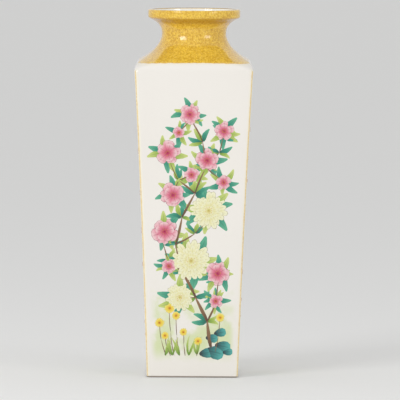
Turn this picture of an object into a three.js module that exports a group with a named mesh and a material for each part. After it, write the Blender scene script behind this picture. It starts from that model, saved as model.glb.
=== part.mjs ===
// A tall square porcelain vase, built the way such a vase is made: four tapering slabs
// mitred at the corners, a floor slab set in between them, coves of clay pressed into
// the inner corners, a moulded shoulder that turns the square into a circle, a thrown
// neck and a thick lip. Every joint is filled with slip, the liquid clay that lutes it.
//
// Millimetres, +Z up, origin on the table under the centre of the vase, front face
// towards -Y.

import * as THREE from "three";

// Driving sizes of the outside
const FOOT_WIDTH = 100;
const SHOULDER_WIDTH = 129;
const MOUTH_DIAMETER = 101;
const WAIST_DIAMETER = 70.5;
const WALL_HEIGHT = 334;
const SHOULDER_HEIGHT = 30;
const NECK_HEIGHT = 25.2;
const LIP_HEIGHT = 10.8;

// How far the middle of each wall sinks in from a straight taper
const WALL_HOLLOW = 0.95;

// Thickness of the clay
const WALL = 5.5;
const NECK_WALL = 4.5;
const BASE_THICKNESS = 7;
const LIP_THICKNESS = 5.2;

// Layer of slip between two luted pieces
const SLIP = 0.3;

// Corners and edges
const ARRIS_RADIUS = 3.4;
const INNER_ARRIS_RADIUS = 1.2;
const FOOT_EDGE = 2;
const FOOT_BEVEL = 1;

// The floor is set in above the table, and a cove of this radius runs round inside
const FOOT_RECESS = 6;
const COVE_RADIUS = 8;

// Shoulder outline: rounded over from the wall, then sloping up towards the neck
const BREAK_INSET = 6.3;
const BREAK_RISE = 15.7;
const SHOULDER_PITCH = THREE.MathUtils.degToRad(24);
const ARRIS_LIFT = 11.5;
const ARRIS_LEAN = 0.4;
const ARRIS_REACH = 6.4;
const SLOPE_REACH = 18;

// Neck outline: the waist's height above the neck's lower joint, and its curves
const WAIST_RISE = 10;
const WAIST_DROP = 8;
const WAIST_CLIMB = 8;
const FLARE_REACH = 6;
const FLARE_PITCH = THREE.MathUtils.degToRad(25);

// Lip outline
const LIP_OVERHANG = 4;
const LIP_UNDERCUT = 1.6;
const LIP_LOWER_EDGE = 2.3;
const LIP_OUTER_EDGE = 1.9;
const LIP_INNER_EDGE = 1.3;
const LIP_DISH = 3.6;

// Fineness of the round stretches
const TURN_STEPS = 48;
const OCTANT_STEPS = 8;
const CORNER_CROWDING = 2.2;
const ARC_STEPS = 4;
const WALL_ROWS = 8;
const CURVE_STEPS = 10;

// Heights of the joints
const wallTop = WALL_HEIGHT;
const shoulderTop = wallTop + SHOULDER_HEIGHT;
const neckTop = shoulderTop + NECK_HEIGHT;
const mouthTop = neckTop + LIP_HEIGHT;
const floorTop = FOOT_RECESS + BASE_THICKNESS;

const whiteGlaze = new THREE.MeshStandardMaterial({ color: 0xf1ede6, roughness: 0.12, metalness: 0 });
const yellowGlaze = new THREE.MeshStandardMaterial({ color: 0xe5b943, roughness: 0.18, metalness: 0 });

// Half the outside width of the square body at a height, along its slightly hollow taper
function bodyHalf(z) {
  const t = z / WALL_HEIGHT;
  const taper = THREE.MathUtils.lerp(FOOT_WIDTH / 2, SHOULDER_WIDTH / 2, t);
  return taper - WALL_HOLLOW * 4 * t * (1 - t);
}

// Half the inside width of the square body at a height
function roomHalf(z) {
  return bodyHalf(z) - WALL;
}

// Points on a circle between two angles, both ends included
function arc(x, y, radius, from, to, steps) {
  const points = [];
  for (let i = 0; i <= steps; i++) {
    const angle = THREE.MathUtils.lerp(from, to, i / steps);
    points.push(new THREE.Vector2(x + radius * Math.cos(angle), y + radius * Math.sin(angle)));
  }
  return points;
}

// Joins rings of equal length into one closed solid. Open stacks get flat end caps, and
// a looped stack runs from its last ring back to its first.
function loft(rings, looped = false) {
  const size = rings[0].length;
  const positions = rings.flat().flatMap((p) => [p.x, p.y, p.z]);
  const faces = [];
  const bands = looped ? rings.length : rings.length - 1;
  for (let i = 0; i < bands; i++) {
    const low = i * size;
    const high = ((i + 1) % rings.length) * size;
    for (let j = 0; j < size; j++) {
      const k = (j + 1) % size;
      faces.push(low + j, low + k, high + k);
      faces.push(low + j, high + k, high + j);
    }
  }
  if (!looped) {
    const last = (rings.length - 1) * size;
    for (const [a, b, c] of capFaces(rings[0])) faces.push(a, c, b);
    for (const [a, b, c] of capFaces(rings.at(-1))) faces.push(last + a, last + b, last + c);
  }
  const geometry = new THREE.BufferGeometry();
  geometry.setAttribute("position", new THREE.Float32BufferAttribute(positions, 3));
  geometry.setIndex(faces);
  geometry.computeVertexNormals();
  return geometry;
}

// Triangles over a flat ring, in the ring's own turning sense
function capFaces(ring) {
  const across = new THREE.Vector3().subVectors(ring[1], ring[0]).normalize();
  const normal = new THREE.Vector3();
  for (let i = 0; i < ring.length; i++) {
    normal.add(new THREE.Vector3().crossVectors(ring[i], ring[(i + 1) % ring.length]));
  }
  normal.normalize();
  const up = new THREE.Vector3().crossVectors(normal, across);
  const flat = ring.map((p) => new THREE.Vector2(p.dot(across), p.dot(up)));
  return THREE.ShapeUtils.triangulateShape(flat, []);
}

// A flat outline lifted to a height
function atHeight(outline, z) {
  return outline.map((p) => new THREE.Vector3(p.x, p.y, z));
}

// Front wall slab: one plan outline for each row, mitred at both ends
function wallSlab() {
  const mitre = SLIP / Math.SQRT2;
  const shortfall = Math.asin(mitre / (ARRIS_RADIUS * Math.SQRT2));
  const planAt = (outside, inside) => {
    const c = outside - ARRIS_RADIUS;
    const down = -Math.PI / 2;
    const left = arc(-c, -c, ARRIS_RADIUS, -0.75 * Math.PI + shortfall, down, ARC_STEPS);
    const right = arc(c, -c, ARRIS_RADIUS, down, -0.25 * Math.PI - shortfall, ARC_STEPS);
    const back = [new THREE.Vector2(inside - mitre, -inside), new THREE.Vector2(mitre - inside, -inside)];
    return [...left, ...right, ...back];
  };
  const heights = [];
  for (const corner of arc(0, FOOT_EDGE, FOOT_EDGE, -Math.PI / 2, 0, ARC_STEPS)) heights.push(corner.y);
  for (let i = 1; i <= WALL_ROWS; i++) heights.push(THREE.MathUtils.lerp(FOOT_EDGE, wallTop, i / WALL_ROWS));
  const rings = heights.map((z) => {
    const drop = Math.max(0, FOOT_EDGE - z);
    const rounded = FOOT_EDGE - Math.sqrt(FOOT_EDGE ** 2 - drop ** 2);
    const bevel = Math.max(0, FOOT_BEVEL - z);
    return atHeight(planAt(bodyHalf(z) - rounded, roomHalf(z) + bevel), z);
  });
  return loft(rings);
}

// Cove between two faces at right angles: the corner first, then the hollow of the arc.
// x runs back from the corner along one face, and y along the other.
function coveOutline() {
  const hollow = arc(COVE_RADIUS, COVE_RADIUS, COVE_RADIUS, -Math.PI / 2, -Math.PI, ARC_STEPS);
  return [new THREE.Vector2(0, 0), ...hollow];
}

// Cove up the inner corner between the front and right walls
function cornerCove() {
  const rings = [];
  for (let i = 0; i <= WALL_ROWS; i++) {
    const z = THREE.MathUtils.lerp(floorTop + SLIP, wallTop, i / WALL_ROWS);
    const corner = roomHalf(z) - SLIP;
    const plan = coveOutline().map((p) => new THREE.Vector2(corner - p.x, p.y - corner));
    rings.push(atHeight(plan.reverse(), z));
  }
  return loft(rings);
}

// Cove along the foot of the front wall, between two corner coves
function floorCove() {
  const bottom = floorTop + SLIP;
  const reach = roomHalf(bottom) - SLIP - COVE_RADIUS - SLIP;
  const sectionAt = (x) =>
    coveOutline().map((p) => {
      const z = bottom + p.y;
      return new THREE.Vector3(x, p.x + SLIP - roomHalf(z), z);
    });
  return loft([sectionAt(-reach), sectionAt(reach)]);
}

// Directions round a quarter, crowded towards the diagonal where the corner turns
function quarterAngles() {
  const octant = [];
  for (let i = 0; i <= OCTANT_STEPS; i++) {
    octant.push((Math.PI / 4) * (1 - (1 - i / OCTANT_STEPS) ** CORNER_CROWDING));
  }
  const mirrored = octant.slice(1, -1).reverse().map((angle) => Math.PI / 2 - angle);
  return [...octant, ...mirrored];
}

// Square with rounded corners. A corner radius equal to half makes it a circle.
function roundedSquare(half, radius, z) {
  const c = half - radius;
  const points = [];
  for (let quarter = 0; quarter < 4; quarter++) {
    for (const angle of quarterAngles()) {
      const folded = Math.min(angle, Math.PI / 2 - angle);
      let reach = half / Math.cos(folded);
      if (half * Math.tan(folded) > c) {
        const along = c * (Math.cos(folded) + Math.sin(folded));
        reach = along + Math.sqrt(radius ** 2 - c ** 2 * (1 - Math.sin(2 * folded)));
      }
      const turn = angle + (quarter * Math.PI) / 2;
      points.push(new THREE.Vector3(reach * Math.cos(turn), reach * Math.sin(turn), z));
    }
  }
  return points;
}

// Floor slab, its edges following the walls
function floorSlab() {
  const heights = [FOOT_RECESS, floorTop];
  return loft(heights.map((z) => roundedSquare(roomHalf(z) - SLIP, INNER_ARRIS_RADIUS, z)));
}

// Outline of shoulder and neck in one line, x outward and y up, from the top of the
// walls, over the rounded shoulder, in to the waist and out again to the lip
function outsideOutline() {
  const foot = new THREE.Vector2(bodyHalf(wallTop), wallTop);
  const breakPoint = new THREE.Vector2(foot.x - BREAK_INSET, wallTop + BREAK_RISE);
  const slope = new THREE.Vector2(-Math.cos(SHOULDER_PITCH), Math.sin(SHOULDER_PITCH));
  const waist = new THREE.Vector2(WAIST_DIAMETER / 2, shoulderTop + WAIST_RISE);
  const flare = new THREE.Vector2(MOUTH_DIAMETER / 2 - LIP_OVERHANG, neckTop);
  const flareSlope = new THREE.Vector2(Math.cos(FLARE_PITCH), Math.sin(FLARE_PITCH));
  const shoulder = new THREE.CubicBezierCurve(
    foot,
    new THREE.Vector2(foot.x + ARRIS_LEAN, foot.y + ARRIS_LIFT),
    breakPoint.clone().addScaledVector(slope, -ARRIS_REACH),
    breakPoint,
  );
  const hollow = new THREE.CubicBezierCurve(
    breakPoint,
    breakPoint.clone().addScaledVector(slope, SLOPE_REACH),
    new THREE.Vector2(waist.x, waist.y - WAIST_DROP),
    waist,
  );
  const trumpet = new THREE.CubicBezierCurve(
    waist,
    new THREE.Vector2(waist.x, waist.y + WAIST_CLIMB),
    flare.clone().addScaledVector(flareSlope, -FLARE_REACH),
    flare,
  );
  const line = [shoulder, hollow, trumpet].flatMap((curve) => curve.getPoints(CURVE_STEPS).slice(1));
  return [foot, ...line];
}

// The same outline moved in by the thickness of the clay, which thins up the shoulder
function insideOutline(outside) {
  return outside.map((p, i) => {
    const before = outside[Math.max(i - 1, 0)];
    const after = outside[Math.min(i + 1, outside.length - 1)];
    const along = new THREE.Vector2().subVectors(after, before).normalize();
    const up = THREE.MathUtils.clamp((p.y - wallTop) / SHOULDER_HEIGHT, 0, 1);
    const thickness = THREE.MathUtils.lerp(WALL, NECK_WALL, up);
    return new THREE.Vector2(p.x - along.y * thickness, p.y + along.x * thickness);
  });
}

// Part of a rising outline between two heights, with its ends cut level
function between(outline, low, high) {
  const level = (z) => {
    const i = outline.findIndex((p) => p.y >= z);
    if (i <= 0) return new THREE.Vector2(outline.at(i).x, z);
    const [a, b] = [outline[i - 1], outline[i]];
    return new THREE.Vector2(THREE.MathUtils.mapLinear(z, a.y, b.y, a.x, b.x), z);
  };
  const least = (high - low) / (4 * CURVE_STEPS);
  const inner = outline.filter((p) => p.y > low + least && p.y < high - least);
  return [level(low), ...inner, level(high)];
}

const outsideLine = outsideOutline();
const insideLine = insideOutline(outsideLine);

// How far the section has turned from a square, 0, to a circle, 1, at a height
function roundness(z) {
  return THREE.MathUtils.smoothstep(z, wallTop, shoulderTop) ** 0.75;
}

// Moulded shoulder: square with an arris below, round above
function shoulderShell() {
  const low = wallTop + SLIP;
  const high = shoulderTop;
  const ringAt = (p, corner) => roundedSquare(p.x, THREE.MathUtils.lerp(corner, p.x, roundness(p.y)), p.y);
  const outer = between(outsideLine, low, high).map((p) => ringAt(p, ARRIS_RADIUS));
  const inner = between(insideLine, low, high).map((p) => ringAt(p, INNER_ARRIS_RADIUS));
  return loft([...outer, ...inner.reverse()], true);
}

// A closed outline turned about the vertical axis
function turned(outline) {
  const geometry = new THREE.LatheGeometry([...outline, outline[0]], TURN_STEPS);
  return geometry.rotateX(Math.PI / 2);
}

// Thrown neck: waisted tube that flares towards the lip
function neckTube() {
  const low = shoulderTop + SLIP;
  const outer = between(outsideLine, low, neckTop);
  const inner = between(insideLine, low, neckTop);
  return turned([...outer, ...inner.reverse()]);
}

// Thick lip: undercut below, upright outside, rounded over, and dished inside
function lipRing() {
  const low = neckTop + SLIP;
  const outer = MOUTH_DIAMETER / 2;
  const inner = outer - LIP_THICKNESS;
  const throat = between(insideLine, shoulderTop, neckTop).at(-1).x;
  const flare = outer - LIP_OVERHANG;
  const corner = low + LIP_UNDERCUT;
  const slope = LIP_UNDERCUT / LIP_OVERHANG;
  const line = new THREE.Path();
  line.moveTo(throat, low);
  line.lineTo(flare, low);
  line.lineTo(outer - LIP_LOWER_EDGE, corner - LIP_LOWER_EDGE * slope);
  line.quadraticCurveTo(outer, corner, outer, corner + LIP_LOWER_EDGE);
  line.lineTo(outer, mouthTop - LIP_OUTER_EDGE);
  line.absarc(outer - LIP_OUTER_EDGE, mouthTop - LIP_OUTER_EDGE, LIP_OUTER_EDGE, 0, Math.PI / 2);
  line.lineTo(inner + LIP_INNER_EDGE, mouthTop);
  line.absarc(inner + LIP_INNER_EDGE, mouthTop - LIP_INNER_EDGE, LIP_INNER_EDGE, Math.PI / 2, Math.PI);
  line.quadraticCurveTo(inner, low + LIP_DISH, throat, low);
  const points = line.getPoints(ARC_STEPS);
  return turned(points.slice(0, -1));
}

// A named piece, turned by whole quarters about the vertical axis
function piece(name, geometry, material, quarters = 0) {
  const mesh = new THREE.Mesh(geometry, material);
  mesh.name = name;
  mesh.rotation.z = (quarters * Math.PI) / 2;
  return mesh;
}

const SIDES = ["front", "right", "back", "left"];
const CORNERS = ["front_right", "back_right", "back_left", "front_left"];

const body = new THREE.Group();
body.add(piece("floor_slab", floorSlab(), whiteGlaze));
SIDES.forEach((side, i) => body.add(piece(`${side}_wall`, wallSlab(), whiteGlaze, i)));
CORNERS.forEach((corner, i) => body.add(piece(`${corner}_cove`, cornerCove(), whiteGlaze, i)));
SIDES.forEach((side, i) => body.add(piece(`${side}_floor_cove`, floorCove(), whiteGlaze, i)));

const top = new THREE.Group();
top.add(piece("shoulder", shoulderShell(), yellowGlaze));
top.add(piece("neck", neckTube(), yellowGlaze));
top.add(piece("lip", lipRing(), yellowGlaze));

const vase = new THREE.Group();
vase.add(body, top);

export default vase;
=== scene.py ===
"""A tall square porcelain vase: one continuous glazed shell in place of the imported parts,
with raised enamel flowers on its four panels, on a plain pale floor."""

import math
import random

import bmesh
import bpy
from mathutils import Matrix, Vector
from mathutils.geometry import interpolate_bezier


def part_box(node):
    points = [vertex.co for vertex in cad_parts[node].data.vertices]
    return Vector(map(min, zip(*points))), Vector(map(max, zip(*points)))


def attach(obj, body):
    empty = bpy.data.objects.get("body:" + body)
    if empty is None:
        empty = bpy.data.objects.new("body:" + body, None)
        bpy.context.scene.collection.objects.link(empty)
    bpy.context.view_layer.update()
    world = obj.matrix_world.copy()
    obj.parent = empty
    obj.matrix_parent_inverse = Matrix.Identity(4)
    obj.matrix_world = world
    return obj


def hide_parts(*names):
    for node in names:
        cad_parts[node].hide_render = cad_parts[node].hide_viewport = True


bl_info = {
    "name": "Square porcelain vase",
    "version": (1, 0, 0),
    "blender": (4, 5, 0),
    "location": "3D View > Sidebar > Vase",
    "description": "Builds a square glazed vase with a sprig of enamel flowers on each side",
    "category": "Add Mesh",
}

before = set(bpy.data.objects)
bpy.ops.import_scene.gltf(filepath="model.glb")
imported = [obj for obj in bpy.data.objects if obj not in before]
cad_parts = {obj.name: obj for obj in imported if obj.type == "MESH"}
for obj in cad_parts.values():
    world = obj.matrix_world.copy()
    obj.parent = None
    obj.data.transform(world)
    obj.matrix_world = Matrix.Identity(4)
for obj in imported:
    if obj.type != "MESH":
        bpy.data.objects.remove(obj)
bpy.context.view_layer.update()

MM = 0.001
SIDES = 4
QUARTER = math.pi / 2

# Heights of the joints and widths of the ends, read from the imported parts
WALL_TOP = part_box("front_wall")[1].z
SHOULDER_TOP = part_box("shoulder")[1].z
NECK_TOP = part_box("neck")[1].z
MOUTH_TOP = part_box("lip")[1].z
MOUTH_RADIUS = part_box("lip")[1].x
FLOOR_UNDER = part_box("floor_slab")[0].z
FLOOR_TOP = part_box("floor_slab")[1].z

# Outline of the clay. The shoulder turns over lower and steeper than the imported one.
FOOT_HALF = 50 * MM
SHOULDER_HALF = 64.5 * MM
WALL_HOLLOW = 0.95 * MM
WALL = 5.5 * MM
NECK_WALL = 4.5 * MM
ARRIS_RADIUS = 3.4 * MM
INNER_ARRIS_RADIUS = 5 * MM
FOOT_EDGE = 2 * MM
FOOT_BEVEL = 1 * MM
COVE_RADIUS = 8 * MM
BREAK_INSET = 6.1 * MM
BREAK_RISE = 11.1 * MM
ARRIS_LIFT = 5.5 * MM
ARRIS_LEAN = 0.4 * MM
ARRIS_REACH = 5.5 * MM
SHOULDER_PITCH = math.radians(33)
SLOPE_REACH = 14 * MM
WAIST_RADIUS = 35.25 * MM
WAIST_RISE = 10 * MM
WAIST_DROP = 12 * MM
WAIST_CLIMB = 8 * MM
FLARE_PITCH = math.radians(25)
FLARE_REACH = 6 * MM
LIP_OVERHANG = 4 * MM
LIP_UNDERCUT = 1.9 * MM
LIP_THICKNESS = 5.2 * MM
LIP_EDGE = 1.9 * MM
LIP_INNER_EDGE = 1.3 * MM
LIP_DISH = 3.6 * MM
LIP_CORNER_RISE = 1.6 * MM
UNDER_LIP_TUCK = 0.4 * MM
UNDER_LIP_RISE = 0.2 * MM
UNDER_LIP_REACH = 1 * MM
UNDER_LIP_DIP = 0.7 * MM
RECESS_CORNER = 1.2 * MM
RECESS_DRAFT = 0.1 * MM

# Below 1, the section leaves the square sooner on its way up the shoulder
ROUNDING_POWER = 0.75

# Fineness of the shell
ROUND_STEPS = 160
CORNER_CROWDING = 2.0
WALL_ROWS = 24
CURVE_ROWS = 18
ARC_ROWS = 7
UNDER_LIP_ROWS = 8
MOUTH_ROWS = 10

# Faces of the shell take one of these materials
GLAZE, INSIDE, CLAY = range(3)


class VaseGlaze(bpy.types.PropertyGroup):
    """Colours and edges of the two glazes."""

    white: bpy.props.FloatVectorProperty(
        name="White", description="Porcelain under clear glaze", subtype="COLOR", size=3,
        default=(0.872, 0.838, 0.785), min=0, max=1)
    yellow: bpy.props.FloatVectorProperty(
        name="Yellow", description="Middle tone of the yellow glaze", subtype="COLOR", size=3,
        default=(0.9, 0.55, 0.05), min=0, max=1)
    edge_height: bpy.props.FloatProperty(
        name="Edge height", description="Where the yellow glaze ends on the shoulder",
        default=343.9 * MM, unit="LENGTH")
    arris_width: bpy.props.FloatProperty(
        name="Arris width", description="Width of yellow on each side of an arris",
        default=1.7 * MM, unit="LENGTH")


class VaseEnamel(bpy.types.PropertyGroup):
    """Sizes of the enamel flowers."""

    thickness: bpy.props.FloatProperty(
        name="Thickness", description="How far a petal stands proud of the glaze",
        default=0.22 * MM, unit="LENGTH")
    seed: bpy.props.IntProperty(name="Seed", description="Seed of the small variations", default=7)


class Field:
    """A number that changes over a surface, with ordinary arithmetic."""

    def __init__(self, graph, socket):
        self.graph = graph
        self.socket = socket

    def join(self, operation, first, second=0.0):
        node = self.graph.add("ShaderNodeMath", {"operation": operation}, {0: first, 1: second})
        return Field(self.graph, node.outputs[0])

    def __add__(self, other):
        return self.join("ADD", self, other)

    def __sub__(self, other):
        return self.join("SUBTRACT", self, other)

    def __rsub__(self, other):
        return self.join("SUBTRACT", other, self)

    def __mul__(self, other):
        return self.join("MULTIPLY", self, other)

    __radd__ = __add__
    __rmul__ = __mul__

    def __truediv__(self, other):
        return self.join("DIVIDE", self, other)

    def __abs__(self):
        return self.join("ABSOLUTE", self)

    def sine(self):
        return self.join("SINE", self)

    def root(self):
        return self.join("SQRT", self)

    def least(self, other):
        return self.join("MINIMUM", self, other)

    def most(self, other):
        return self.join("MAXIMUM", self, other)

    def step(self, low, high):
        """0 below low, 1 above high and a soft change between them."""
        node = self.graph.add("ShaderNodeMapRange", {"interpolation_type": "SMOOTHSTEP"},
                              {"Value": self, "From Min": low, "From Max": high})
        return Field(self.graph, node.outputs[0])


class Graph:
    """The nodes of one material."""

    def __init__(self, name, **constants):
        self.material = bpy.data.materials.new(name)
        self.material.use_nodes = True
        self.nodes = self.material.node_tree.nodes
        self.links = self.material.node_tree.links
        self.shader = self.nodes["Principled BSDF"]
        for socket, value in constants.items():
            self.shader.inputs[socket.replace("_", " ")].default_value = value

    def add(self, kind, settings=None, inputs=None):
        node = self.nodes.new(kind)
        for key, value in (settings or {}).items():
            setattr(node, key, value)
        for key, value in (inputs or {}).items():
            self.feed(node.inputs[key], value)
        return node

    def feed(self, socket, value):
        if isinstance(value, Field):
            value = value.socket
        if isinstance(value, bpy.types.NodeSocket):
            self.links.new(value, socket)
        else:
            socket.default_value = value

    def place(self):
        """The object coordinates, whole and as three fields."""
        whole = self.add("ShaderNodeTexCoord").outputs["Object"]
        parts = self.add("ShaderNodeSeparateXYZ", inputs={0: whole}).outputs
        return whole, [Field(self, part) for part in parts]

    def noise(self, where, size, detail=2.0, roughness=0.5):
        """Cloudy noise from 0 to 1, with lumps of about the given size."""
        node = self.add("ShaderNodeTexNoise", inputs={
            "Vector": where, "Scale": 1 / size, "Detail": detail, "Roughness": roughness})
        return Field(self, node.outputs[0])

    def attribute(self, name):
        return Field(self, self.add("ShaderNodeAttribute", {"attribute_name": name}).outputs["Fac"])

    def mix(self, share, first, second):
        """A colour between two others."""
        node = self.add("ShaderNodeMix", {"data_type": "RGBA"}, {0: share})
        self.feed(node.inputs[6], rgba(first))
        self.feed(node.inputs[7], rgba(second))
        return node.outputs[2]

    def lay(self, base, mask, coat):
        """A coat of colour over another where the mask is 1, as strong as the coat says."""
        colour, strength = coat
        return self.mix(mask * strength, base, colour)

    def finish(self, colour, roughness=None, height=None, depth=0.0):
        self.feed(self.shader.inputs["Base Color"], colour)
        if roughness is not None:
            self.feed(self.shader.inputs["Roughness"], roughness)
        if height is not None:
            bump = self.add("ShaderNodeBump", inputs={"Strength": 1.0, "Distance": depth, "Height": height})
            self.feed(self.shader.inputs["Normal"], bump.outputs[0])
        return self.material


def rgba(colour):
    return colour if isinstance(colour, bpy.types.NodeSocket) else (*tuple(colour)[:3], 1.0)


def wall_half(z):
    """Half the outside width of the square body at a height, which may be a field."""
    t = z / WALL_TOP
    return FOOT_HALF + (SHOULDER_HALF - FOOT_HALF) * t - WALL_HOLLOW * 4 * t * (1 - t)


# Marks in the glazes: the size of their lumps, and where in the noise a tone starts and is full
WOBBLE_SIZE = 6 * MM
CLOUD_SIZE = 2.2 * MM
CLOUD_DETAIL = 4.0
CLOUD_ROUGHNESS = 0.62
CLOUD_TONES = (0.33, 0.68)
SPECK_SIZE = 0.95 * MM
SPECK_ROUGHNESS = 0.6
DARK_SPECK_TONES = (0.61, 0.7)
PALE_SPECK_TONES = (0.3, 0.39)
DRIFT_SIZE = 14 * MM
DRIFT_TONES = (0.45, 0.75)
FOG_SIZE = 120 * MM
FOG_TONES = (0.35, 0.7)
WASH_SIZE = 24 * MM
WASH_DETAIL = 3.0
WASH_TONES = (0.36, 0.56)
RIPPLE_SIZE = 26 * MM
RIPPLE_DEPTH = 0.25 * MM
RIPPLE_SHARE = 0.7
CLOUD_RELIEF = 0.3
GLAZE_ROUGHNESS = 0.08
SPECK_ROUGHENING = 0.14

# Where the glazes meet and thin out, with a painted shade under the lip
ARRIS_WOBBLE = 1.1 * MM
ARRIS_FADE_IN = 0.5 * MM
ARRIS_FADE_OUT = 0.4 * MM
EDGE_WOBBLE = 1.4 * MM
EDGE_SAG = 1.2 * MM
EDGE_BLUR = 0.5 * MM
# Height and spread of the painted shade under the lip
UNDER_LIP_SHADE_HEIGHT = NECK_TOP - 1 * MM
UNDER_LIP_SHADE_SPREAD = (1 * MM, 5 * MM)
THIN_LEAST = 0.35
THIN_CLOUDING = 0.5
BRINK_RADIUS = MOUTH_RADIUS - LIP_THICKNESS + 0.9 * MM
BRINK_SPREAD = (0.3 * MM, 0.8 * MM)
BRINK_HEIGHTS = (MOUTH_TOP - 1.5 * MM, MOUTH_TOP - 0.8 * MM)
CREAM_BY_ARRIS = (2.2 * MM, 4.6 * MM)
CREAM_BY_EDGE = (1 * MM, 3 * MM)
WASH_WANDER = 60 * MM
WASH_TOP = (46 * MM, 104 * MM)
WASH_FOOT = (14 * MM, 34 * MM)
WASH_MARGIN = (4 * MM, 13 * MM)
FOOT_LINE_HEIGHTS = (1.1 * MM, 2 * MM)

# Shares of the middle yellow's red, green and blue in its deep and light tones
DEEP_SHARES = (0.68, 0.6, 0.35)
LIGHT_SHARES = (1.14, 1.28, 1.9)
MIDDLE_SHARE = 0.25
DRIFT_SHARE = 0.3
THIN_YELLOW = (0.9, 0.77, 0.5)

# Coats: a colour and how strongly it covers
DARK_SPECK = ((0.24, 0.105, 0.012), 0.7)
PALE_SPECK = ((0.97, 0.8, 0.33), 0.6)
# Painted shade: a darker band under the lip, where shade falls
PAINTED_UNDER_LIP_SHADE = ((0.33, 0.14, 0.01), 0.55)
BURNT = ((0.12, 0.05, 0.008), 0.85)
FOGGED_WHITE = ((0.83, 0.79, 0.735), 0.35)
CREAM = ((0.91, 0.86, 0.7), 0.6)
WASH_GREEN = ((0.62, 0.72, 0.33), 0.75)
FOOT_BROWN = ((0.2, 0.14, 0.09), 0.8)


def toned(colour, shares):
    """A colour with its red, green and blue scaled, up to 1."""
    return [min(1.0, part * share) for part, share in zip(colour, shares)]


def yellow_glaze(graph, middle, where, cloud, specks):
    """Yellow from deep to light, with dark and pale specks."""
    deep = toned(middle, DEEP_SHARES)
    yellow = graph.mix(cloud.step(*CLOUD_TONES), deep, toned(middle, LIGHT_SHARES))
    yellow = graph.mix(MIDDLE_SHARE, yellow, middle)
    drift = graph.noise(where, DRIFT_SIZE).step(*DRIFT_TONES)
    yellow = graph.mix(drift * DRIFT_SHARE, yellow, deep)
    yellow = graph.lay(yellow, specks.step(*DARK_SPECK_TONES), DARK_SPECK)
    return graph.lay(yellow, 1 - specks.step(*PALE_SPECK_TONES), PALE_SPECK)


def glaze_material(glaze):
    """White panels, with speckled yellow glaze on the shoulder, neck, lip and arrises."""
    graph = Graph("two_glazes", Coat_Weight=0.5, Coat_Roughness=0.04)
    where, (x, y, z) = graph.place()
    wobble = graph.noise(where, WOBBLE_SIZE) - 0.5
    side = abs(x).least(abs(y))
    from_arris = wall_half(z) - side + wobble * ARRIS_WOBBLE
    arris = 1 - from_arris.step(glaze.arris_width - ARRIS_FADE_IN, glaze.arris_width + ARRIS_FADE_OUT)
    edge = z + wobble * EDGE_WOBBLE + (side / SHOULDER_HALF) * EDGE_SAG
    above = edge.step(glaze.edge_height - EDGE_BLUR, glaze.edge_height + EDGE_BLUR)
    yellow_share = above.most(arris)
    cloud = graph.noise(where, CLOUD_SIZE, CLOUD_DETAIL, CLOUD_ROUGHNESS)
    specks = graph.noise(where, SPECK_SIZE, roughness=SPECK_ROUGHNESS)
    foot_line = 1 - z.step(*FOOT_LINE_HEIGHTS)

    yellow = yellow_glaze(graph, glaze.yellow, where, cloud, specks)
    # Painted shade under the lip, where the flare turns under
    yellow = graph.lay(yellow, 1 - abs(z - UNDER_LIP_SHADE_HEIGHT).step(*UNDER_LIP_SHADE_SPREAD), PAINTED_UNDER_LIP_SHADE)
    thin = arris * (1 - above)
    yellow = graph.mix(thin * (THIN_LEAST + cloud * THIN_CLOUDING), yellow, THIN_YELLOW)
    brink = 1 - abs((x * x + y * y).root() - BRINK_RADIUS).step(*BRINK_SPREAD)
    yellow = graph.lay(yellow, brink * z.step(*BRINK_HEIGHTS), BURNT)

    white = graph.lay(glaze.white, graph.noise(where, FOG_SIZE).step(*FOG_TONES), FOGGED_WHITE)
    by_arris = 1 - from_arris.step(*CREAM_BY_ARRIS)
    by_edge = 1 - abs(edge - glaze.edge_height).step(*CREAM_BY_EDGE)
    white = graph.lay(white, by_arris.most(by_edge), CREAM)
    wash = (1 - (z + wobble * WASH_WANDER).step(*WASH_TOP)) * from_arris.step(*WASH_MARGIN)
    wash = wash * graph.noise(where, WASH_SIZE, WASH_DETAIL).step(*WASH_TONES) * z.step(*WASH_FOOT)
    white = graph.lay(white, wash, WASH_GREEN)
    white = graph.lay(white, foot_line, FOOT_BROWN)

    colour = graph.mix(yellow_share * (1 - foot_line), white, yellow)
    ripple = graph.noise(where, RIPPLE_SIZE) * RIPPLE_SHARE + cloud * yellow_share * CLOUD_RELIEF
    roughness = GLAZE_ROUGHNESS + specks * yellow_share * SPECK_ROUGHENING
    return graph.finish(colour, roughness, ripple, RIPPLE_DEPTH)


INSIDE_FOG_SIZE = 30 * MM
INSIDE_FOG_TONES = (0.3, 0.7)
INSIDE_PALE = (1.0, 0.975, 0.9)
INSIDE_CREAM = (0.96, 0.93, 0.84)
INSIDE_ROUGHNESS = 0.1
INSIDE_ROUGHENING = 0.06


def inside_material():
    """Clear glaze inside the mouth and the body."""
    graph = Graph("inside_glaze", Coat_Weight=0.4, Coat_Roughness=0.05)
    where, _ = graph.place()
    fog = graph.noise(where, INSIDE_FOG_SIZE)
    colour = graph.mix(fog.step(*INSIDE_FOG_TONES), INSIDE_PALE, INSIDE_CREAM)
    return graph.finish(colour, INSIDE_ROUGHNESS + fog * INSIDE_ROUGHENING)


GRIT_SIZE = 0.8 * MM
GRIT_DETAIL = 5.0
GRIT_TONES = (0.35, 0.7)
GRIT_DEPTH = 0.12 * MM
CLAY_PALE = (0.72, 0.62, 0.48)
CLAY_DARK = (0.46, 0.35, 0.24)
CLAY_ROUGHNESS = 0.62
CLAY_ROUGHENING = 0.25


def clay_material():
    """Bare fired clay on the foot."""
    graph = Graph("bare_clay")
    where, _ = graph.place()
    grit = graph.noise(where, GRIT_SIZE, GRIT_DETAIL)
    colour = graph.mix(grit.step(*GRIT_TONES), CLAY_PALE, CLAY_DARK)
    return graph.finish(colour, CLAY_ROUGHNESS + grit * CLAY_ROUGHENING, grit, GRIT_DEPTH)


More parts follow.
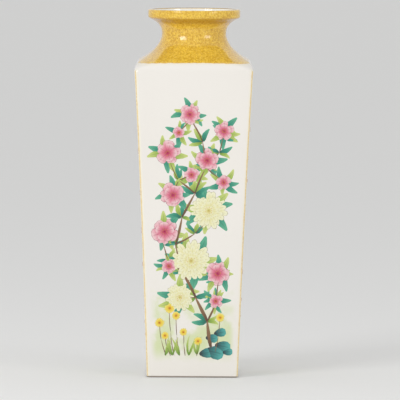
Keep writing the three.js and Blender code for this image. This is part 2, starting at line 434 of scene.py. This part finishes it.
# Shading of a petal: along runs from 0 at its root to 1 at its tip, across from -1 to 1
ROOT_TO_MIDDLE = (0.05, 0.5)
MIDDLE_TO_TIP = (0.4, 0.95)
STREAKS = 16.0
STREAK_EDGES = (0.55, 1.0)
STREAK_ENDS = (0.5, 0.95)
STREAK_SHARE = 0.3
VEIN_EDGES = (0.03, 0.1)
VEIN_ENDS = (0.75, 0.95)
VEIN_SHARE = 0.45
RIM_EDGES = (0.8, 0.96)
LINE_SHARE = 0.75
ENAMEL_POOL_SIZE = 3 * MM
ENAMEL_POOL_TONES = (0.5, 0.8)
ENAMEL_POOL_SHARE = 0.22
ENAMEL_ROUGHNESS = 0.16
ENAMEL_ROUGHENING = 0.12


def enamel_material(name, root, middle, tip, line):
    """Overglaze enamel that shades from a petal's root to its tip, with veins and an edge line."""
    graph = Graph(name, Coat_Weight=0.35, Coat_Roughness=0.08)
    where, _ = graph.place()
    along = graph.attribute("along")
    across = graph.attribute("across")
    colour = graph.mix(along.step(*ROOT_TO_MIDDLE), root, middle)
    colour = graph.mix(along.step(*MIDDLE_TO_TIP), colour, tip)
    streak = (across * STREAKS).sine().step(*STREAK_EDGES) * (1 - along.step(*STREAK_ENDS))
    colour = graph.mix(streak * STREAK_SHARE, colour, root)
    vein = (1 - abs(across).step(*VEIN_EDGES)) * (1 - along.step(*VEIN_ENDS))
    from_middle = 2.0 * along - 1.0
    rim = (from_middle * from_middle + across * across).step(*RIM_EDGES)
    colour = graph.mix((vein * VEIN_SHARE).most(rim) * LINE_SHARE, colour, line)
    pool = graph.noise(where, ENAMEL_POOL_SIZE)
    colour = graph.mix(pool.step(*ENAMEL_POOL_TONES) * ENAMEL_POOL_SHARE, colour, root)
    return graph.finish(colour, ENAMEL_ROUGHNESS + pool * ENAMEL_ROUGHENING)


def set_faces_smooth(bm):
    for face in bm.faces:
        face.smooth = True


def new_piece(name, bm, *materials):
    """An object at the origin that rides on the vase."""
    mesh = bpy.data.meshes.new(name)
    bm.to_mesh(mesh)
    bm.free()
    for material in materials:
        mesh.materials.append(material)
    piece = bpy.data.objects.new(name, mesh)
    bpy.context.scene.collection.objects.link(piece)
    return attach(piece, "root")


def arc(x, y, radius, start, end, steps):
    """Points on a circle between two angles."""
    turns = [start + (end - start) * i / steps for i in range(steps + 1)]
    return [Vector((x + radius * math.cos(a), y + radius * math.sin(a))) for a in turns]


def bezier(*points, steps=CURVE_ROWS):
    flat = interpolate_bezier(*[Vector((p[0], p[1], 0)) for p in points], steps)
    return [Vector((p.x, p.y)) for p in flat]


def upper_outline():
    """Outside of the shoulder and neck, x outwards and y up."""
    foot = Vector((SHOULDER_HALF, WALL_TOP))
    turn = foot + Vector((-BREAK_INSET, BREAK_RISE))
    slope = Vector((-math.cos(SHOULDER_PITCH), math.sin(SHOULDER_PITCH)))
    waist = Vector((WAIST_RADIUS, SHOULDER_TOP + WAIST_RISE))
    flare = Vector((MOUTH_RADIUS - LIP_OVERHANG, NECK_TOP))
    opening = Vector((math.cos(FLARE_PITCH), math.sin(FLARE_PITCH)))
    drop = Vector((0, WAIST_DROP))
    climb = Vector((0, WAIST_CLIMB))
    shoulder = bezier(foot, foot + Vector((ARRIS_LEAN, ARRIS_LIFT)), turn - slope * ARRIS_REACH, turn)
    hollow = bezier(turn, turn + slope * SLOPE_REACH, waist - drop, waist)
    trumpet = bezier(waist, waist + climb, flare - opening * FLARE_REACH, flare)
    return shoulder + hollow[1:] + trumpet[1:]


def inner_outline(outline):
    """The outline moved in by the thickness of the clay."""
    moved = []
    for i, point in enumerate(outline):
        along = (outline[min(i + 1, len(outline) - 1)] - outline[max(i - 1, 0)]).normalized()
        share = min(1.0, max(0.0, (point.y - WALL_TOP) / (SHOULDER_TOP - WALL_TOP)))
        thickness = WALL + (NECK_WALL - WALL) * share
        moved.append(point + Vector((-along.y, along.x)) * thickness)
    return moved


def lip_outline(throat):
    """Round the lip from under its edge to the throat."""
    low = NECK_TOP + LIP_UNDERCUT
    inner = MOUTH_RADIUS - LIP_THICKNESS
    start = Vector((MOUTH_RADIUS - LIP_OVERHANG + UNDER_LIP_TUCK, NECK_TOP + UNDER_LIP_RISE))
    corner = Vector((MOUTH_RADIUS, low + LIP_CORNER_RISE))
    under = bezier(start, Vector((MOUTH_RADIUS - UNDER_LIP_REACH, low - UNDER_LIP_DIP)),
                   Vector((MOUTH_RADIUS, low)), corner, steps=UNDER_LIP_ROWS)
    outer = arc(MOUTH_RADIUS - LIP_EDGE, MOUTH_TOP - LIP_EDGE, LIP_EDGE, 0, QUARTER, ARC_ROWS)
    brink = arc(inner + LIP_INNER_EDGE, MOUTH_TOP - LIP_INNER_EDGE, LIP_INNER_EDGE,
                QUARTER, math.pi, ARC_ROWS)
    dish = Vector((inner, NECK_TOP + LIP_DISH))
    mouth = bezier(brink[-1], dish, (dish + throat) / 2, throat, steps=MOUTH_ROWS)
    return under + outer, brink, mouth[1:]


def roundness(z):
    """How far the section has turned from a square, 0, to a circle, 1."""
    t = min(1.0, max(0.0, (z - WALL_TOP) / (SHOULDER_TOP - WALL_TOP)))
    return (t * t * (3 - 2 * t)) ** ROUNDING_POWER


def reach(angle, half, radius):
    """Distance from the axis to a square with rounded corners, in one direction."""
    folded = angle % QUARTER
    folded = min(folded, QUARTER - folded)
    middle = half - radius
    if half * math.tan(folded) <= middle:
        return half / math.cos(folded)
    along = middle * (math.cos(folded) + math.sin(folded))
    return along + math.sqrt(max(0.0, radius ** 2 - middle ** 2 * (1 - math.sin(2 * folded))))


def crowd(angle):
    """The same direction moved towards the nearest diagonal, where the corner turns."""
    quarter = math.floor(angle / QUARTER)
    folded = angle - quarter * QUARTER
    octant = QUARTER / 2
    share = 1 - (1 - min(folded, QUARTER - folded) / octant) ** CORNER_CROWDING
    moved = octant * share
    return quarter * QUARTER + (moved if folded <= octant else QUARTER - moved)


def shell_rows():
    """Every row of the shell from under the floor, over the lip, down to the floor inside:
    half width, height, corner radius and material."""
    rows = []

    def add(points, corner, material):
        for p in points:
            rows.append((p[0], p[1], min(p[0], corner + (p[0] - corner) * roundness(p[1])), material))

    upper = upper_outline()
    inside = inner_outline(upper)
    throat_at = max(i for i, p in enumerate(inside) if p.y < NECK_TOP)
    outside_lip, brink, mouth = lip_outline(inside[throat_at])
    heel = arc(FOOT_HALF - FOOT_EDGE, FOOT_EDGE, FOOT_EDGE, -QUARTER, 0, ARC_ROWS)
    inner_foot = wall_half(0) - WALL
    recess = [(wall_half(FLOOR_UNDER) - WALL, FLOOR_UNDER), (inner_foot + RECESS_DRAFT, FOOT_BEVEL)]
    add(recess, RECESS_CORNER, INSIDE)
    add([(inner_foot + FOOT_BEVEL, 0), heel[0], heel[1]], ARRIS_RADIUS, CLAY)
    add(heel[2:], ARRIS_RADIUS, GLAZE)
    heights = [FOOT_EDGE + (WALL_TOP - FOOT_EDGE) * i / WALL_ROWS for i in range(1, WALL_ROWS)]
    add([(wall_half(z), z) for z in heights], ARRIS_RADIUS, GLAZE)
    add(upper + outside_lip + brink[:-2], ARRIS_RADIUS, GLAZE)
    add(brink[-2:] + mouth, ARRIS_RADIUS, INSIDE)
    add([p for p in reversed(inside[:throat_at]) if p.y > WALL_TOP], INNER_ARRIS_RADIUS, INSIDE)
    cove = arc(wall_half(FLOOR_TOP) - WALL - COVE_RADIUS, FLOOR_TOP + COVE_RADIUS, COVE_RADIUS,
               0, -QUARTER, ARC_ROWS)
    lower = [z for z in reversed(heights) if z > FLOOR_TOP + 2 * COVE_RADIUS]
    add([(wall_half(z) - WALL, z) for z in lower] + cove, INNER_ARRIS_RADIUS, INSIDE)
    return rows


def place_row(verts, row):
    half, height, corner, _ = row
    for vert in verts:
        angle = math.atan2(vert.co.y, vert.co.x)
        distance = reach(angle, half, corner)
        vert.co = (distance * math.cos(angle), distance * math.sin(angle), height)


def extrude_ring(bm, edges):
    made = bmesh.ops.extrude_edge_only(bm, edges=edges)["geom"]
    verts = {item for item in made if isinstance(item, bmesh.types.BMVert)}
    ring = [item for item in made if isinstance(item, bmesh.types.BMEdge) and set(item.verts) <= verts]
    faces = [item for item in made if isinstance(item, bmesh.types.BMFace)]
    return verts, ring, faces


def porcelain_shell():
    bm = bmesh.new()
    circle = bmesh.ops.create_circle(bm, cap_ends=False, segments=ROUND_STEPS, radius=1)["verts"]
    for vert in circle:
        angle = crowd(math.atan2(vert.co.y, vert.co.x))
        vert.co = (math.cos(angle), math.sin(angle), 0)
    rows = shell_rows()
    place_row(circle, rows[0])
    ring = list(bm.edges)
    bmesh.ops.contextual_create(bm, geom=ring)
    bm.faces.ensure_lookup_table()
    bm.faces[0].material_index = INSIDE
    for row in rows[1:]:
        verts, ring, faces = extrude_ring(bm, ring)
        place_row(verts, row)
        for face in faces:
            face.material_index = row[3]
    floor = bmesh.ops.contextual_create(bm, geom=ring)["faces"]
    for face in floor:
        face.material_index = INSIDE
    bmesh.ops.recalc_face_normals(bm, faces=bm.faces)
    set_faces_smooth(bm)
    for face in floor:
        face.smooth = False
    return bm


class Panel:
    """Enamel shapes on one wall: u across, v up and w out of the glaze."""

    def __init__(self, bm, quarters, mirrored, enamel, draw):
        self.bm = bm
        self.turn = Matrix.Rotation(quarters * QUARTER, 3, "Z")
        self.flip = -1 if mirrored else 1
        self.thickness = enamel.thickness
        self.draw = draw
        self.scrap = bpy.data.meshes.new("scrap")

    def settle(self, verts):
        for vert in verts:
            u, v, w = vert.co
            vert.co = self.turn @ Vector((u * self.flip, -(wall_half(v) + w), v))

    def petal(self, u, v, angle, length, width, level=0.0, full=0.5, wave=0.0, rings=6):
        """A flat lens with its root at u, v. It is fuller towards its root where full is below
        0.5, and otherwise towards its tip."""
        part = bmesh.new()
        root_to_tip = part.verts.layers.float.new("along")
        side_to_side = part.verts.layers.float.new("across")
        verts = bmesh.ops.create_uvsphere(part, u_segments=2 * rings, v_segments=rings, radius=1)["verts"]
        cosine = math.cos(angle)
        sine = math.sin(angle)
        lean = 1 if full < 0.5 else -1
        for vert in verts:
            along, across, lift = vert.co.z, vert.co.x, vert.co.y
            share = (along + 1) / 2
            vert[root_to_tip] = share
            vert[side_to_side] = across
            shape = 1 - FULLNESS * (share - full) * lean
            x = length * share
            y = across * width / 2 * shape + wave * length * math.sin(math.pi * share)
            vert.co = (u + x * cosine - y * sine, v + x * sine + y * cosine, lift * self.thickness + level)
        self.settle(verts)
        part.to_mesh(self.scrap)
        part.free()
        self.bm.from_mesh(self.scrap)

    def blossom(self, u, v, radius, petals, layers, breadth):
        """A flower head whose inner layers lie on the outer ones."""
        for layer in range(layers):
            size = radius * (1 - LAYER_SHRINK * layer)
            start = self.draw.uniform(0, math.tau)
            for i in range(petals):
                angle = start + math.tau * i / petals + self.draw.uniform(-PETAL_SWAY, PETAL_SWAY)
                length = size * self.draw.uniform(*PETAL_LENGTHS)
                width = breadth * math.tau * size / petals * PETAL_SPACING
                level = self.thickness * (LAYER_RISE * layer + NEIGHBOUR_RISE * (i % 2))
                self.petal(u, v, angle, length, width, level, full=PETAL_FULL)

    def dots(self, u, v, radius, count, size, level):
        """Small round drops of enamel, such as stamens."""
        for i in range(count):
            angle = math.tau * i / count + self.draw.uniform(-DOT_SWAY, DOT_SWAY)
            spread = radius * self.draw.uniform(*DOT_SPREADS)
            centre = Vector((u + spread * math.cos(angle), v + spread * math.sin(angle)))
            self.petal(centre.x - size / 2, centre.y, 0, size, size, level, rings=4)

    def leaf(self, u, v, angle, length):
        """A pointed leaf, left out where it would reach the edge of the panel."""
        if abs(u + length * math.cos(angle)) < wall_half(v) - LEAF_MARGIN:
            self.petal(u, v, angle, length, length * LEAF_BREADTH, LEAF_LEVEL * self.thickness,
                       LEAF_FULL, self.draw.uniform(-LEAF_WAVE, LEAF_WAVE))

    def stem(self, points, thick, thin):
        """A branch through points, as overlapping tapered lengths."""
        for i, (a, b) in enumerate(zip(points, points[1:])):
            a, b = Vector(a), Vector(b)
            width = thick + (thin - thick) * i / max(1, len(points) - 2)
            step = b - a
            angle = math.atan2(step.y, step.x)
            back = a - step.normalized() * width * STEM_OVERLAP
            self.petal(back.x, back.y, angle, step.length + width * 2 * STEM_OVERLAP, width,
                       full=STEM_FULL, wave=self.draw.uniform(-STEM_WAVE, STEM_WAVE))


# Shape of the enamel strokes. Levels and rises are in thicknesses of a petal.
FULLNESS = 0.75
LAYER_SHRINK = 0.24
LAYER_RISE = 0.55
NEIGHBOUR_RISE = 0.25
PETAL_SWAY = 0.08
PETAL_LENGTHS = (0.9, 1.05)
PETAL_SPACING = 0.9
PETAL_FULL = 0.72
DOT_SWAY = 0.2
DOT_SPREADS = (0.55, 1.0)
LEAF_MARGIN = 8 * MM
LEAF_BREADTH = 0.4
LEAF_LEVEL = -0.3
LEAF_FULL = 0.35
LEAF_WAVE = 0.12
STEM_OVERLAP = 0.6
STEM_FULL = 0.45
STEM_WAVE = 0.03
STONE_LEVEL = -0.2
STONE_HEIGHT = 1.4
STONE_TILT = 0.3

# Sprig of the panels, in millimetres from the middle and the foot of a wall
BRANCH = [
    (20, 34), (16, 62), (3, 88), (-12, 116), (-19, 146),
    (-12, 176), (2, 202), (14, 230), (10, 258), (-3, 282),
]
TWIGS = [
    [(16, 62), (26, 84), (29, 112)],
    [(-12, 116), (-27, 128), (-33, 148)],
    [(-19, 146), (2, 158), (16, 172)],
    [(2, 202), (-16, 216), (-26, 238)],
    [(14, 230), (28, 246), (32, 266)],
]
GROUND = 24
GREAT_HEADS = [(-2, 128, 23), (17, 183, 21), (-14, 88, 16)]
PINK_HEADS = [
    (27, 114, 14), (-31, 160, 15), (-22, 200, 14), (-28, 246, 14), (15, 238, 13), (33, 270, 11),
    (-4, 288, 12), (-2, 222, 9), (33, 214, 9), (-16, 268, 7), (25, 84, 8), (-26, 122, 9),
]
DAISIES = [
    (-25, 76, 6), (-18, 68, 5), (-36, 60, 5.5), (-30, 46, 4.5), (-10, 50, 4.5), (6, 40, 5), (30, 66, 5),
]
STONES = [(24, 30, 11), (33, 36, 9), (15, 26, 8), (30, 48, 7), (38, 28, 6), (21, 44, 7)]
LEAF_ROOTS = sum(TWIGS, []) + BRANCH[2:]
BLADE_ROOTS = [(-30, 24), (-22, 24), (-14, 24), (-4, 24), (5, 25)]

# A head further than this from every point of the branch and twigs gets a stalk
HEAD_REACH = 3

# Widths of the strokes at their root and their end
BRANCH_WIDTHS = (4.2 * MM, 2 * MM)
TWIG_WIDTHS = (2.2 * MM, 1.3 * MM)
HEAD_STALK_WIDTHS = (1.4 * MM, 1.4 * MM)
DAISY_STALK_WIDTHS = (0.9 * MM, 0.8 * MM)

# Where a daisy's stalk stands at the ground and half way up, as shares of its head's place
DAISY_STALK_LEAN = (0.8, 0.95)

# Petals of each kind of head
GREAT_FORM = {"petals": 18, "layers": 4, "breadth": 1.2}
PINK_FORM = {"petals": 5, "layers": 2, "breadth": 0.95}
DAISY_FORM = {"petals": 11, "layers": 1, "breadth": 1.1}

# Stamens: share of the head's radius, how many, their size, and their level in thicknesses
HEAD_STAMENS = (0.24, 9, 0.9 * MM, 2.2)
DAISY_STAMENS = (0.2, 6, 1 * MM, 1.2)

# Leaves and blades: how many, and between which angles and lengths in millimetres
LEAVES_A_ROOT = 4
LEAF_ANGLES = (-0.5, math.pi + 0.5)
LEAF_LENGTHS = (12, 19)
LEAVES_A_HEAD = 7
HEAD_LEAF_SWAY = 0.3
HEAD_LEAF_REACHES = (6, 11)
BLADES_A_ROOT = 3
BLADE_ANGLES = (1.1, 2.1)
BLADE_LENGTHS = (16, 26)
BLADE_WIDTH = 2.6 * MM
BLADE_FULL = 0.3
BLADE_WAVE = 0.1


def scaled(points):
    return [tuple(value * MM for value in point) for point in points]


def paint_stems(panel):
    panel.stem(scaled(BRANCH), *BRANCH_WIDTHS)
    for twig in TWIGS:
        panel.stem(scaled(twig), *TWIG_WIDTHS)
    for u, v, _ in PINK_HEADS + GREAT_HEADS:
        root = min(BRANCH + sum(TWIGS, []), key=lambda point: math.dist(point, (u, v)))
        if math.dist(root, (u, v)) > HEAD_REACH:
            panel.stem(scaled([root, (u, v)]), *HEAD_STALK_WIDTHS)
    at_ground, half_way = DAISY_STALK_LEAN
    for u, v, _ in DAISIES:
        stalk = [(u * at_ground, GROUND), (u * half_way, (GROUND + v) / 2), (u, v)]
        panel.stem(scaled(stalk), *DAISY_STALK_WIDTHS)


def paint_heads(panel, heads, form):
    for u, v, radius in scaled(heads):
        panel.blossom(u, v, radius, **form)


def paint_stamens(panel, heads, stamens):
    share, count, size, level = stamens
    for u, v, radius in scaled(heads):
        panel.dots(u, v, radius * share, count, size, panel.thickness * level)


def paint_leaves(panel, turn):
    """Every second leaf. turn, 0 or 1, says which half of them."""
    draw = panel.draw
    for i, (u, v) in enumerate(scaled(LEAF_ROOTS)):
        for j in range(LEAVES_A_ROOT):
            if (i + j) % 2 == turn:
                panel.leaf(u, v, draw.uniform(*LEAF_ANGLES), draw.uniform(*LEAF_LENGTHS) * MM)
    for i, (u, v, radius) in enumerate(scaled(GREAT_HEADS + PINK_HEADS)):
        for j in range(LEAVES_A_HEAD):
            if (i + j) % 2 == turn:
                angle = math.tau * j / LEAVES_A_HEAD + draw.uniform(-HEAD_LEAF_SWAY, HEAD_LEAF_SWAY)
                panel.leaf(u, v, angle, radius + draw.uniform(*HEAD_LEAF_REACHES) * MM)


def paint_blades(panel):
    draw = panel.draw
    for u, v in scaled(BLADE_ROOTS):
        for _ in range(BLADES_A_ROOT):
            angle = draw.uniform(*BLADE_ANGLES)
            length = draw.uniform(*BLADE_LENGTHS) * MM
            wave = draw.uniform(-BLADE_WAVE, BLADE_WAVE)
            panel.petal(u, v, angle, length, BLADE_WIDTH, 0, BLADE_FULL, wave)


def paint_stones(panel):
    for u, v, radius in scaled(STONES):
        tilt = panel.draw.uniform(-STONE_TILT, STONE_TILT)
        level = STONE_LEVEL * panel.thickness
        panel.petal(u - radius, v, tilt, radius * 2, radius * STONE_HEIGHT, level)


def paint(panel, kind):
    """One colour group of the sprig on one panel."""
    if kind == "branches":
        paint_stems(panel)
    if kind == "great_blossoms":
        paint_heads(panel, GREAT_HEADS, GREAT_FORM)
    if kind == "pink_blossoms":
        paint_heads(panel, PINK_HEADS, PINK_FORM)
    if kind == "daisies":
        paint_heads(panel, DAISIES, DAISY_FORM)
    if kind == "stamens":
        paint_stamens(panel, GREAT_HEADS + PINK_HEADS, HEAD_STAMENS)
        paint_stamens(panel, DAISIES, DAISY_STAMENS)
    if kind == "teal_leaves":
        paint_leaves(panel, 1)
    if kind == "lime_leaves":
        paint_leaves(panel, 0)
        paint_blades(panel)
    if kind == "stones":
        paint_stones(panel)


# Root, middle and tip of each enamel colour, and its edge line
ENAMELS = {
    "stones": ((0.02, 0.03, 0.035), (0.03, 0.2, 0.2), (0.08, 0.42, 0.38), (0.01, 0.012, 0.015)),
    "branches": ((0.12, 0.06, 0.03), (0.24, 0.13, 0.06), (0.3, 0.17, 0.08), (0.03, 0.018, 0.012)),
    "teal_leaves": ((0.01, 0.15, 0.1), (0.03, 0.3, 0.2), (0.12, 0.45, 0.28), (0.02, 0.04, 0.035)),
    "lime_leaves": ((0.16, 0.32, 0.04), (0.36, 0.5, 0.09), (0.6, 0.68, 0.22), (0.06, 0.09, 0.03)),
    "great_blossoms": ((0.62, 0.5, 0.12), (0.82, 0.78, 0.38), (0.88, 0.87, 0.62), (0.3, 0.25, 0.08)),
    "pink_blossoms": ((0.5, 0.035, 0.11), (0.74, 0.2, 0.29), (0.87, 0.6, 0.62), (0.3, 0.03, 0.07)),
    "daisies": ((0.8, 0.42, 0.03), (0.88, 0.66, 0.06), (0.9, 0.78, 0.2), (0.3, 0.16, 0.02)),
    "stamens": ((0.5, 0.14, 0.015), (0.72, 0.27, 0.02), (0.8, 0.42, 0.05), (0.25, 0.08, 0.01)),
}


class VASE_OT_shell(bpy.types.Operator):
    """Builds the glazed porcelain, inside and out, in place of the packed clay"""

    bl_idname = "vase.shell"
    bl_label = "Porcelain shell"

    def execute(self, context):
        glaze = context.scene.vase_glaze
        shell = new_piece("porcelain_shell", porcelain_shell(),
                          glaze_material(glaze), inside_material(), clay_material())
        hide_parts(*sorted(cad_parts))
        return {"FINISHED"}


class VASE_OT_enamel(bpy.types.Operator):
    """Paints one colour group of the flowers on all four panels"""

    bl_idname = "vase.enamel"
    bl_label = "Enamel"

    kind: bpy.props.EnumProperty(
        name="Kind", description="Colour group",
        items=[(kind, kind.replace("_", " "), kind.replace("_", " ")) for kind in ENAMELS])

    def execute(self, context):
        enamel = context.scene.vase_enamel
        bm = bmesh.new()
        for quarters in range(SIDES):
            draw = random.Random(enamel.seed * 100 + quarters * 10 + list(ENAMELS).index(self.kind))
            paint(Panel(bm, quarters, quarters % 2 == 1, enamel, draw), self.kind)
        bmesh.ops.recalc_face_normals(bm, faces=bm.faces)
        set_faces_smooth(bm)
        new_piece(self.kind, bm, enamel_material(f"enamel_{self.kind}", *ENAMELS[self.kind]))
        return {"FINISHED"}


# Camera: straight at the front, well back, with the foot and the rim on their rows
CAMERA_DISTANCE = 6.0
CAMERA_HEIGHT = 0.6095
CAMERA_SIDE = 7.4 * MM
CAMERA_PITCH = math.radians(3.993)
CAMERA_ROLL = math.radians(0.3)
CAMERA_LENS = 493.3
SENSOR = 36.0
CAMERA_FAR = 200

# Lamps: where each stands, its width and its power in watts
LAMPS = [((-1.5, -1.7, 1.3), 0.9, 17.0), ((1.7, -1.5, 0.9), 0.7, 6.0)]
AMBIENT = 0.72
LAMP_TARGET = Vector((0, 0, 0.25))
SKY_COLOUR = (1, 1, 1, 1)
FLOOR_HALF = 40.0
FLOOR_COLOUR = (0.86, 0.86, 0.85)


class VASE_OT_stage(bpy.types.Operator):
    """Sets the floor, the lamps, the sky and the camera"""

    bl_idname = "vase.stage"
    bl_label = "Stage"

    def execute(self, context):
        bm = bmesh.new()
        bmesh.ops.create_grid(bm, x_segments=1, y_segments=1, size=FLOOR_HALF)
        mesh = bpy.data.meshes.new("floor")
        bm.to_mesh(mesh)
        bm.free()
        graph = Graph("pale_floor", Roughness=0.7, Specular_IOR_Level=0.2)
        mesh.materials.append(graph.finish(rgba(FLOOR_COLOUR)))
        floor = bpy.data.objects.new("floor", mesh)
        context.scene.collection.objects.link(floor)
        for i, (place, width, power) in enumerate(LAMPS):
            light = bpy.data.lights.new(f"softbox_{i}", "AREA")
            light.size = width
            light.energy = power
            lamp = bpy.data.objects.new(light.name, light)
            lamp.location = place
            lamp.rotation_euler = (LAMP_TARGET - Vector(place)).to_track_quat("-Z", "Y").to_euler()
            context.scene.collection.objects.link(lamp)
        world = bpy.data.worlds.new("sky")
        world.use_nodes = True
        sky = world.node_tree.nodes["Background"].inputs
        sky["Color"].default_value = SKY_COLOUR
        sky["Strength"].default_value = AMBIENT
        context.scene.world = world
        camera = bpy.data.objects.new("camera", bpy.data.cameras.new("camera"))
        camera.data.lens = CAMERA_LENS
        camera.data.sensor_width = SENSOR
        camera.data.clip_end = CAMERA_FAR
        turn = Matrix.Rotation(QUARTER - CAMERA_PITCH, 4, "X") @ Matrix.Rotation(CAMERA_ROLL, 4, "Z")
        camera.matrix_world = Matrix.Translation((CAMERA_SIDE, -CAMERA_DISTANCE, CAMERA_HEIGHT)) @ turn
        context.scene.collection.objects.link(camera)
        context.scene.camera = camera
        context.scene.view_settings.view_transform = "Standard"
        return {"FINISHED"}


class VASE_PT_panel(bpy.types.Panel):
    """The vase's pieces and settings"""

    bl_idname = "VASE_PT_panel"
    bl_label = "Vase"
    bl_space_type = "VIEW_3D"
    bl_region_type = "UI"
    bl_category = "Vase"

    def draw(self, context):
        column = self.layout.column()
        for name in ("white", "yellow", "edge_height", "arris_width"):
            column.prop(context.scene.vase_glaze, name)
        for name in ("thickness", "seed"):
            column.prop(context.scene.vase_enamel, name)
        column.operator("vase.shell")
        for kind in ENAMELS:
            column.operator("vase.enamel", text=kind.replace("_", " ")).kind = kind
        column.operator("vase.stage")


CLASSES = [VaseGlaze, VaseEnamel, VASE_OT_shell, VASE_OT_enamel, VASE_OT_stage, VASE_PT_panel]


def register():
    for cls in CLASSES:
        bpy.utils.register_class(cls)
    bpy.types.Scene.vase_glaze = bpy.props.PointerProperty(type=VaseGlaze)
    bpy.types.Scene.vase_enamel = bpy.props.PointerProperty(type=VaseEnamel)


def unregister():
    del bpy.types.Scene.vase_enamel
    del bpy.types.Scene.vase_glaze
    for cls in reversed(CLASSES):
        bpy.utils.unregister_class(cls)


def main():
    register()
    bpy.ops.vase.stage()
    bpy.ops.vase.shell()
    for kind in ENAMELS:
        bpy.ops.vase.enamel(kind=kind)


if __name__ == "__main__":
    main()
